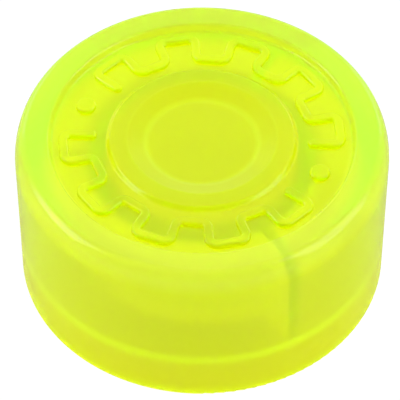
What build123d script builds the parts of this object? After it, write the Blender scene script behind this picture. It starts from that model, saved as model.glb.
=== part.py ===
"""Push-on topper for a round stomp switch: a moulded cap with a soft grip sleeve inside.

The frame's origin is the centre of the base, with +Z up along the axis of the cap.
All sizes are in millimetres.
"""

import os
from math import cos, radians, sin

from build123d import *

# Driving dimensions: the outside of the cap
CAP_DIAMETER = 24.0
CAP_HEIGHT = 11.7
BASE_DRAFT = 0.1          # the skirt is this much narrower, in radius, at the base
CROWN_ROUND_WIDTH = 0.87  # the elliptical round between crown and skirt: across the face
CROWN_ROUND_DROP = 1.75   # and down the skirt
BASE_ROUND = 0.2

# The top face: a dish in a disc, and a sunk channel between the disc and the crown
DISC_DROP = 0.2           # how far the disc's face lies below the top of the crown
DISH_RIM_RADIUS = 4.82
DISH_FLOOR_RADIUS = 3.55
DISH_DEPTH = 0.5          # below the disc's face
DISH_EDGE_ROUND = 0.4     # where the dish's slope meets its floor and its rim
DISC_RADIUS = 5.9
CHANNEL_OUTER_RADIUS = 9.85
CHANNEL_DEPTH = 0.5       # below the top of the crown
CHANNEL_DRAFT = 0.22      # how far each channel wall leans over its depth
CHANNEL_EDGE_ROUND = 0.18

# The raised motif in the channel: two runs of a square wave, with a stud between them
STUD_ANGLES = (159.0, 339.0)  # in degrees from +X, anticlockwise seen from above
WAVE_CROSSINGS = 10       # how many times one run crosses the channel
WAVE_PITCH = 16.0         # the angle from one crossing to the next
WAVE_INNER_RADIUS = 6.75
WAVE_OUTER_RADIUS = 9.25
STROKE_WIDTH = 0.62
WAVE_TURN_RADIUS = 0.5    # on the middle of the stroke
STUD_RADIUS = 0.65
MOTIF_HEIGHT = 0.3        # as high as the disc's face
MOTIF_EDGE_ROUND = 0.18

# The inside: skirt wall, clearance recess at the base, socket tube and ribs
CEILING_HEIGHT = 9.35
SKIRT_WALL = 1.6
SKIRT_INNER_DRAFT = 0.12
RECESS_DEPTH = 2.8        # clears the switch's nut and washer
RECESS_WALL = 0.85
SHOULDER_RISE = 0.8       # the slope from the recess in to the thicker wall above it
SHOULDER_ROUND = 0.35
CAVITY_ROUND = 0.7
TUBE_OUTER_RADIUS = 7.3
TUBE_INNER_RADIUS = 6.2   # clears the switch's 12 mm threaded bush
RIB_COUNT = 3
RIB_THICKNESS = 0.75
RIB_FIRST_ANGLE = 301.5

# The grip sleeve: a soft bush that holds the switch's 10 mm plunger
PLUNGER_DIAMETER = 10.0
GRIP_INTERFERENCE = 0.1   # how much tighter than the plunger the bore is, in radius
SLEEVE_LENGTH = 5.6
SLEEVE_LEAD_IN = 0.4

CAP_RADIUS = CAP_DIAMETER / 2
BASE_RADIUS = CAP_RADIUS - BASE_DRAFT
OVERLAP = 0.3             # how far joined shapes run into each other before they are fused


def polar(radius, angle):
    """A point at a radius and an angle in degrees."""
    return (radius * cos(radians(angle)), radius * sin(radians(angle)))


def rounded(profile, points, radius):
    """Round the corners of a profile that lie at the given points."""
    corners = [
        vertex
        for vertex in profile.vertices()
        if any((vertex.center() - Vector(*point)).length < 1e-4 for point in points)
    ]
    return fillet(corners, radius)


def revolved(profile):
    """Turn a profile drawn with X as radius and Y as height into a solid of revolution."""
    return revolve(Plane.XZ * profile, Axis.Z)


def cap_profile():
    """Half section of the cap, from the axis out over the crown and back under it."""
    channel_floor = CAP_HEIGHT - CHANNEL_DEPTH
    disc_face = CAP_HEIGHT - DISC_DROP
    dish_floor = disc_face - DISH_DEPTH
    recess_radius = BASE_RADIUS - RECESS_WALL
    skirt_low = BASE_RADIUS - SKIRT_WALL
    skirt_high = skirt_low - SKIRT_INNER_DRAFT

    dish_corners = [
        (DISH_FLOOR_RADIUS, dish_floor),
        (DISH_RIM_RADIUS, disc_face),
    ]
    channel_corners = [
        (DISC_RADIUS, disc_face),
        (DISC_RADIUS + CHANNEL_DRAFT, channel_floor),
        (CHANNEL_OUTER_RADIUS - CHANNEL_DRAFT, channel_floor),
        (CHANNEL_OUTER_RADIUS, CAP_HEIGHT),
    ]
    crown_centre = (CAP_RADIUS - CROWN_ROUND_WIDTH, CAP_HEIGHT - CROWN_ROUND_DROP)
    base_corners = [(BASE_RADIUS, 0), (recess_radius, 0)]
    shoulder_corners = [
        (recess_radius, RECESS_DEPTH - SHOULDER_RISE / 2),
        (skirt_low, RECESS_DEPTH + SHOULDER_RISE / 2),
    ]
    cavity_corners = [(skirt_high, CEILING_HEIGHT), (TUBE_OUTER_RADIUS, CEILING_HEIGHT)]
    tube_ends = [(TUBE_OUTER_RADIUS, RECESS_DEPTH), (TUBE_INNER_RADIUS, RECESS_DEPTH)]

    crown_round = EllipticalCenterArc(crown_centre, CROWN_ROUND_WIDTH, CROWN_ROUND_DROP)
    outline = Polyline(
        crown_round @ 0,
        *base_corners,
        *shoulder_corners,
        *cavity_corners,
        *tube_ends,
        (TUBE_INNER_RADIUS, CEILING_HEIGHT),
        (0, CEILING_HEIGHT),
        (0, dish_floor),
        *dish_corners,
        *channel_corners,
        crown_round @ 1,
    )
    profile = make_face([*outline.edges(), *crown_round.edges()])
    profile = rounded(profile, dish_corners, DISH_EDGE_ROUND)
    profile = rounded(profile, channel_corners, CHANNEL_EDGE_ROUND)
    profile = rounded(profile, base_corners + tube_ends, BASE_ROUND)
    profile = rounded(profile, shoulder_corners, SHOULDER_ROUND)
    return rounded(profile, cavity_corners, CAVITY_ROUND)


def rib(angle):
    """A thin web from the socket tube to the skirt, flush with the tube's open end."""
    inner = TUBE_INNER_RADIUS + OVERLAP
    outer = BASE_RADIUS - RECESS_WALL
    height = CEILING_HEIGHT - RECESS_DEPTH + OVERLAP
    web = Box(
        outer - inner,
        RIB_THICKNESS,
        height,
        align=(Align.MIN, Align.CENTER, Align.MIN),
    )
    return Rot(0, 0, angle) * Pos(inner, 0, RECESS_DEPTH) * web


def raised(outline):
    """Stand a flat outline up from the channel floor, with its top edge rounded."""
    root = CAP_HEIGHT - CHANNEL_DEPTH - OVERLAP
    solid = extrude(Pos(0, 0, root) * outline, MOTIF_HEIGHT + OVERLAP)
    return fillet(solid.edges().group_by(Axis.Z)[-1], MOTIF_EDGE_ROUND)


def wave_run(first_angle):
    """One stroke that crosses the channel again and again, turning at its edges."""
    ends = [WAVE_INNER_RADIUS + STROKE_WIDTH / 2, WAVE_OUTER_RADIUS - STROKE_WIDTH / 2]
    corners = []
    for index in range(WAVE_CROSSINGS):
        angle = first_angle - WAVE_PITCH * index
        corners.extend(polar(radius, angle) for radius in ends)
        ends.reverse()
    centre_line = FilletPolyline(*corners, radius=WAVE_TURN_RADIUS)
    outline = offset(centre_line, STROKE_WIDTH / 2, side=Side.BOTH)
    return raised(make_face(outline))


def stud(angle):
    """A round raised stud in the middle of the channel."""
    middle_radius = (WAVE_INNER_RADIUS + WAVE_OUTER_RADIUS) / 2
    return raised(Rot(0, 0, angle) * Pos(middle_radius, 0) * Circle(STUD_RADIUS))


def motif():
    """The raised shapes in the channel: a stud, then a run of the wave, twice."""
    lead = (180 - WAVE_PITCH * (WAVE_CROSSINGS - 1)) / 2
    return [shape for angle in STUD_ANGLES for shape in (stud(angle), wave_run(angle - lead))]


def cap_shell():
    """The one-piece moulding: crown, skirt, socket tube, ribs and raised motif."""
    ribs = [rib(RIB_FIRST_ANGLE - 360 / RIB_COUNT * index) for index in range(RIB_COUNT)]
    return revolved(cap_profile()).fuse(*ribs, *motif())


def grip_sleeve():
    """A soft bush pressed up to the ceiling of the socket tube."""
    bore = PLUNGER_DIAMETER / 2 - GRIP_INTERFERENCE
    mouth = CEILING_HEIGHT - SLEEVE_LENGTH
    profile = make_face(
        Polyline(
            (bore, CEILING_HEIGHT),
            (TUBE_INNER_RADIUS, CEILING_HEIGHT),
            (TUBE_INNER_RADIUS, mouth),
            (bore + SLEEVE_LEAD_IN, mouth),
            (bore, mouth + SLEEVE_LEAD_IN),
            close=True,
        )
    )
    return revolved(profile)


def main():
    os.makedirs("parts", exist_ok=True)
    nodes = {"cap_shell": cap_shell(), "grip_sleeve": grip_sleeve()}
    for name, solid in nodes.items():
        export_step(solid, f"parts/{name}.step")


main()
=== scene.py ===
"""The looks of the footswitch topper.

A translucent fluorescent cap stands on a pale floor in soft studio light. Sizes are in metres,
unless a comment says otherwise.
"""

import math

import bpy
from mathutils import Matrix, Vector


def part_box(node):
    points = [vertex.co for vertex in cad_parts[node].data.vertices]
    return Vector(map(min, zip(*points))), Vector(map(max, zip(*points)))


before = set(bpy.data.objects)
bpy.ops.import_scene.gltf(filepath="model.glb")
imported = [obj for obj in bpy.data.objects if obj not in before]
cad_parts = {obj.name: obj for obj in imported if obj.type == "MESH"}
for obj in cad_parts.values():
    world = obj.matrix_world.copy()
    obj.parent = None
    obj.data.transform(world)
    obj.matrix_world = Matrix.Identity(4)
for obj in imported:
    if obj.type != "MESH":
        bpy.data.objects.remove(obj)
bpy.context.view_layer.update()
scene = bpy.context.scene

# The cap's size, worked out from the frame.
LOW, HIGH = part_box("cap_shell")
RADIUS = (HIGH.x - LOW.x) / 2
HEIGHT = HIGH.z - LOW.z

# The camera looks down on the cap from the front, from a long way off for its size.
CAMERA_ELEVATION = math.radians(48.83)
CAMERA_DISTANCE = 18 * RADIUS
FOCAL_LENGTH_PER_WIDTH = 8.298
SENSOR_WIDTH = 36.0
CAMERA_SHIFT = (-0.0052, -0.0161)

# The plastic. Haze is how far scattered light spreads in it, with red, green and blue in proportion.
PLASTIC_IOR = 1.49
PLASTIC_TINT = (1.0, 0.97, 0.0)
PLASTIC_CLARITY = 0.57
PLASTIC_HAZE = 0.0025
PLASTIC_HAZE_COLOURS = (1.0, 1.0, 0.4)
PLASTIC_ROUGHNESS = (0.12, 0.2)
DEPTH_COLOUR = (0.0, 1.0, 0.1)
DEPTH_DENSITY = 120
ORANGE_PEEL = {"scale": 900, "detail": 2}
ORANGE_PEEL_STRENGTH = 0.25
SCUFFS = {"scale": 2600, "detail": 6, "roughness": 0.7}
SCUFF_LEVELS = (0.35, 0.7)

# The silicone of the grip sleeve.
SLEEVE_IOR = 1.41
SLEEVE_TINT = (0.82, 0.88, 0.45)
SLEEVE_CLARITY = 0.6
SLEEVE_HAZE = 0.0015
SLEEVE_HAZE_COLOURS = (1.0, 1.0, 0.6)
SLEEVE_ROUGHNESS = (0.4, 0.6)
SLEEVE_SKIN = {"scale": 3000, "detail": 4}
SLEEVE_SKIN_LEVELS = (0.3, 0.7)
SLEEVE_SKIN_STRENGTH = 0.4

# How deep the surface's fine unevenness is.
BUMP_DEPTH = 0.00002

# Painted light, set as emission: an even painted yellow glow, painted shade on the ribs (less glow
# there), greener painted bright lines at the moulding's edges, and a pale painted sheen on the crown.
FACE_PAINTED_GLOW = (0.19, 0.147, 0.0)
EDGE_PAINTED_LIGHT = (0.5, 1.0, 0.1)
CROWN_PAINTED_SHEEN = (0.025, 0.012, 0.035)
RIB_PAINTED_SHADE = 0.3

# Where the painted bright lines lie: radius of a ring or height of a band, half width and strength.
DISH_FLOOR_RING = (0.3 * RADIUS, 0.03 * RADIUS, 0.07)
DISH_RIM_RING = (0.402 * RADIUS, 0.014 * RADIUS, 0.02)
SHOULDER_BAND = (0.233 * RADIUS, 0.04 * RADIUS, 0.4)
BASE_BAND = (0.0, 0.03 * RADIUS, 0.25)

# Where the crown's rim, the ribs and the skirt's inner wall are.
CROWN_RADII = (0.76 * RADIUS, 0.86 * RADIUS)
CROWN_HEIGHTS = (0.84 * HEIGHT, 0.97 * HEIGHT)
RIB_RADII = (0.62 * RADIUS, 0.85 * RADIUS)
RIB_TOP = 0.72 * HEIGHT
SKIRT_RADII = (0.85 * RADIUS, 0.95 * RADIUS)

# The floor: paper for the light that falls on the cap, and plain white where the camera sees it.
FLOOR_REACH = 60 * RADIUS
FLOOR_GAP = 0.00001
FLOOR_PAPER = (0.65, 0.65, 0.65)
FLOOR_ROUGHNESS = 0.9
FLOOR_WHITE = 1.05

# The studio: the walls' colour at the front and at the back, and the softboxes and cards, which face
# the cap: azimuth and elevation in degrees, width in cap radii and power in watts.
FRONT_WALL = (0.1, 0.1, 0.1)
BACK_WALL = (0.5, 0.75, 0.7)
SOFTBOX_DISTANCE = 12
SOFTBOXES = {
    "left_box": (184, 28, 8, 0.08),
    "right_box": (-13, 30, 10, 0.08),
    "back_left_card": (128, 14, 5, 0.014),
    "back_right_card": (52, 14, 5, 0.014),
}

# How many times light may bounce on its way out of the plastic.
BOUNCES = 24


class Nodes:
    """A small helper that adds shader nodes and links them."""

    def __init__(self, name):
        self.material = bpy.data.materials.new(name)
        self.material.use_nodes = True
        self.tree = self.material.node_tree
        self.tree.nodes.clear()
        self.output = self.tree.nodes.new("ShaderNodeOutputMaterial")

    def add(self, kind, inputs=None, **settings):
        node = self.tree.nodes.new(kind)
        for name, value in settings.items():
            setattr(node, name, value)
        for name, value in (inputs or {}).items():
            if isinstance(value, bpy.types.NodeSocket):
                self.tree.links.new(value, node.inputs[name])
            else:
                node.inputs[name].default_value = value
        return node

    def place(self):
        """Object coordinates in metres: the same point of the surface in every view."""
        return self.add("ShaderNodeTexCoord").outputs["Object"]

    def math(self, operation, first, second=None):
        values = {0: first} if second is None else {0: first, 1: second}
        return self.add("ShaderNodeMath", values, operation=operation).outputs[0]

    def noise(self, scale, detail, roughness=0.5):
        inputs = {
            "Vector": self.place(),
            "Scale": scale,
            "Detail": detail,
            "Roughness": roughness,
        }
        return self.add("ShaderNodeTexNoise", inputs).outputs["Fac"]

    def remap(self, value, from_low, from_high, to_low, to_high, interpolation="LINEAR"):
        node = self.add(
            "ShaderNodeMapRange",
            {
                "Value": value,
                "From Min": from_low,
                "From Max": from_high,
                "To Min": to_low,
                "To Max": to_high,
            },
            interpolation_type=interpolation,
        )
        return node.outputs["Result"]


def glow(nodes):
    """Painted light: an even glow, less on the ribs, a pale sheen on the crown, bright lines at
    edges.
    """
    place = nodes.place()
    height = nodes.add("ShaderNodeSeparateXYZ", {"Vector": place}).outputs["Z"]
    flat = nodes.add("ShaderNodeVectorMath", {0: place, 1: (1, 1, 0)}, operation="MULTIPLY")
    length = nodes.add("ShaderNodeVectorMath", {0: flat.outputs[0]}, operation="LENGTH")
    radius = length.outputs["Value"]

    def band(value, centre, half_width, strength):
        distance = nodes.math("ABSOLUTE", nodes.math("SUBTRACT", value, centre))
        return nodes.remap(distance, 0, half_width, strength, 0, "SMOOTHSTEP")

    def between(value, limits):
        above = nodes.math("GREATER_THAN", value, limits[0])
        return nodes.math("MULTIPLY", above, nodes.math("LESS_THAN", value, limits[1]))

    def tinted(colour, amount):
        inputs = {0: colour, "Scale": amount}
        return nodes.add("ShaderNodeVectorMath", inputs, operation="SCALE").outputs[0]

    # Painted sheen: a pale glow on the crown's rim, near its top.
    near_top = nodes.remap(height, *CROWN_HEIGHTS, 0, 1, "SMOOTHSTEP")
    near_rim = nodes.remap(radius, *CROWN_RADII, 0, 1, "SMOOTHSTEP")
    crown = nodes.math("MULTIPLY", near_top, near_rim)
    # Painted highlights: bright rings at the dish's floor and rim, bright bands at the shoulder and
    # base.
    rings = nodes.math("ADD", band(radius, *DISH_FLOOR_RING), band(radius, *DISH_RIM_RING))
    edges = nodes.math("MULTIPLY", near_top, rings)
    shoulder = nodes.math("MULTIPLY", between(radius, SKIRT_RADII), band(height, *SHOULDER_BAND))
    below_ceiling = nodes.math("LESS_THAN", height, RIB_TOP)
    ribs = nodes.math("MULTIPLY", between(radius, RIB_RADII), below_ceiling)
    for part in (shoulder, band(height, *BASE_BAND)):
        edges = nodes.math("ADD", edges, part)
    total = tinted(CROWN_PAINTED_SHEEN, crown)
    # Painted shade: the glow is weaker on the ribs.
    faces = nodes.math("SUBTRACT", 1, nodes.math("MULTIPLY", ribs, RIB_PAINTED_SHADE))
    for part in (tinted(EDGE_PAINTED_LIGHT, edges), tinted(FACE_PAINTED_GLOW, faces)):
        total = nodes.add("ShaderNodeVectorMath", {0: total, 1: part}, operation="ADD").outputs[0]
    return total


def translucent_plastic():
    """Hazy fluorescent moulded plastic: it lets light through, scatters some, and has a painted glow.
    """
    nodes = Nodes("fluorescent_plastic_painted_glow")
    orange_peel = nodes.noise(**ORANGE_PEEL)
    scuffs = nodes.noise(**SCUFFS)
    bump = nodes.add(
        "ShaderNodeBump",
        {"Height": orange_peel, "Strength": ORANGE_PEEL_STRENGTH, "Distance": BUMP_DEPTH},
    )
    surface = nodes.add(
        "ShaderNodeBsdfPrincipled",
        {
            "Base Color": (*PLASTIC_TINT, 1),
            "Roughness": nodes.remap(scuffs, *SCUFF_LEVELS, *PLASTIC_ROUGHNESS),
            "IOR": PLASTIC_IOR,
            "Transmission Weight": PLASTIC_CLARITY,
            "Subsurface Weight": 1.0,
            "Subsurface Radius": PLASTIC_HAZE_COLOURS,
            "Subsurface Scale": PLASTIC_HAZE,
            # Painted light: the emission is a painted glow, painted bright lines and a painted sheen,
            # not a lamp.
            "Emission Color": glow(nodes),
            "Emission Strength": 1.0,
            "Normal": bump.outputs["Normal"],
        },
    )
    depth = nodes.add(
        "ShaderNodeVolumeAbsorption",
        {"Color": (*DEPTH_COLOUR, 1), "Density": DEPTH_DENSITY},
    )
    nodes.tree.links.new(surface.outputs["BSDF"], nodes.output.inputs["Surface"])
    nodes.tree.links.new(depth.outputs["Volume"], nodes.output.inputs["Volume"])
    return nodes.material


def soft_silicone():
    """The grip sleeve: milky silicone with a dull, slightly uneven skin."""
    nodes = Nodes("grip_silicone")
    skin = nodes.noise(**SLEEVE_SKIN)
    bump = nodes.add(
        "ShaderNodeBump",
        {"Height": skin, "Strength": SLEEVE_SKIN_STRENGTH, "Distance": BUMP_DEPTH},
    )
    surface = nodes.add(
        "ShaderNodeBsdfPrincipled",
        {
            "Base Color": (*SLEEVE_TINT, 1),
            "Roughness": nodes.remap(skin, *SLEEVE_SKIN_LEVELS, *SLEEVE_ROUGHNESS),
            "IOR": SLEEVE_IOR,
            "Transmission Weight": SLEEVE_CLARITY,
            "Subsurface Weight": 1.0,
            "Subsurface Radius": SLEEVE_HAZE_COLOURS,
            "Subsurface Scale": SLEEVE_HAZE,
            "Normal": bump.outputs["Normal"],
        },
    )
    nodes.tree.links.new(surface.outputs["BSDF"], nodes.output.inputs["Surface"])
    return nodes.material


def dress(node, material):
    """Give a CAD node its material."""
    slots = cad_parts[node].data.materials
    slots.clear()
    slots.append(material)


def floor():
    """A wide pale floor just under the cap."""
    far = FLOOR_REACH
    level = LOW.z - FLOOR_GAP
    corners = [(-far, -far, level), (far, -far, level), (far, far, level), (-far, far, level)]
    mesh = bpy.data.meshes.new("floor")
    mesh.from_pydata(corners, [], [(0, 1, 2, 3)])
    nodes = Nodes("floor_paper")
    paper = nodes.add(
        "ShaderNodeBsdfPrincipled",
        {
            "Base Color": (*FLOOR_PAPER, 1),
            "Roughness": FLOOR_ROUGHNESS,
            "Specular IOR Level": 0.0,
        },
    )
    white = nodes.add("ShaderNodeEmission", {"Color": (1, 1, 1, 1), "Strength": FLOOR_WHITE})
    seen = nodes.add("ShaderNodeLightPath").outputs["Is Camera Ray"]
    mixed = nodes.add(
        "ShaderNodeMixShader",
        {0: seen, 1: paper.outputs["BSDF"], 2: white.outputs["Emission"]},
    )
    nodes.tree.links.new(mixed.outputs["Shader"], nodes.output.inputs["Surface"])
    mesh.materials.append(nodes.material)
    plane = bpy.data.objects.new("floor", mesh)
    scene.collection.objects.link(plane)


def softbox(name, azimuth, elevation, width, power):
    """A square light that faces the cap."""
    data = bpy.data.lights.new(name, "AREA")
    data.shape = "SQUARE"
    data.size = width * RADIUS
    data.energy = power
    lamp = bpy.data.objects.new(name, data)
    distance = SOFTBOX_DISTANCE * RADIUS
    flat = math.cos(elevation) * distance
    lamp.location = (
        flat * math.cos(azimuth),
        flat * math.sin(azimuth),
        HEIGHT / 2 + math.sin(elevation) * distance,
    )
    lamp.rotation_euler = (math.pi / 2 - elevation, 0, azimuth + math.pi / 2)
    scene.collection.objects.link(lamp)


def walls():
    """Plain soft light all round, dimmer behind the camera."""
    world = bpy.data.worlds.new("studio")
    world.use_nodes = True
    tree = world.node_tree
    direction = tree.nodes.new("ShaderNodeTexCoord").outputs["Generated"]
    depth = tree.nodes.new("ShaderNodeSeparateXYZ")
    # Looking straight to the front, Y is -1, and straight to the back, 1.
    ramp = tree.nodes.new("ShaderNodeMapRange")
    ramp.inputs["From Min"].default_value = -1
    wall = tree.nodes.new("ShaderNodeMix")
    wall.data_type = "RGBA"
    wall.inputs["A"].default_value = (*FRONT_WALL, 1)
    wall.inputs["B"].default_value = (*BACK_WALL, 1)
    tree.links.new(direction, depth.inputs[0])
    tree.links.new(depth.outputs["Y"], ramp.inputs["Value"])
    tree.links.new(ramp.outputs["Result"], wall.inputs["Factor"])
    tree.links.new(wall.outputs["Result"], tree.nodes["Background"].inputs["Color"])
    scene.world = world


def studio():
    """The walls, a softbox at each side and a small card behind each shoulder of the cap."""
    walls()
    for name, (azimuth, elevation, width, power) in SOFTBOXES.items():
        softbox(name, math.radians(azimuth), math.radians(elevation), width, power)


def camera():
    """A long lens that looks down at the front of the cap."""
    data = bpy.data.cameras.new("camera")
    data.sensor_width = SENSOR_WIDTH
    data.lens = FOCAL_LENGTH_PER_WIDTH * SENSOR_WIDTH
    data.clip_start = RADIUS
    data.shift_x, data.shift_y = CAMERA_SHIFT
    viewer = bpy.data.objects.new("camera", data)
    viewer.location = (
        0,
        -math.cos(CAMERA_ELEVATION) * CAMERA_DISTANCE,
        RADIUS / 2 + math.sin(CAMERA_ELEVATION) * CAMERA_DISTANCE,
    )
    viewer.rotation_euler = (math.pi / 2 - CAMERA_ELEVATION, 0, 0)
    scene.collection.objects.link(viewer)
    scene.camera = viewer


def render_settings():
    """Enough bounces for light to find its way out of the plastic, and plain colours."""
    scene.cycles.max_bounces = BOUNCES
    scene.cycles.transmission_bounces = BOUNCES
    scene.cycles.transparent_max_bounces = BOUNCES
    scene.cycles.use_denoising = True
    scene.view_settings.view_transform = "Standard"


dress("cap_shell", translucent_plastic())
dress("grip_sleeve", soft_silicone())
floor()
studio()
camera()
render_settings()
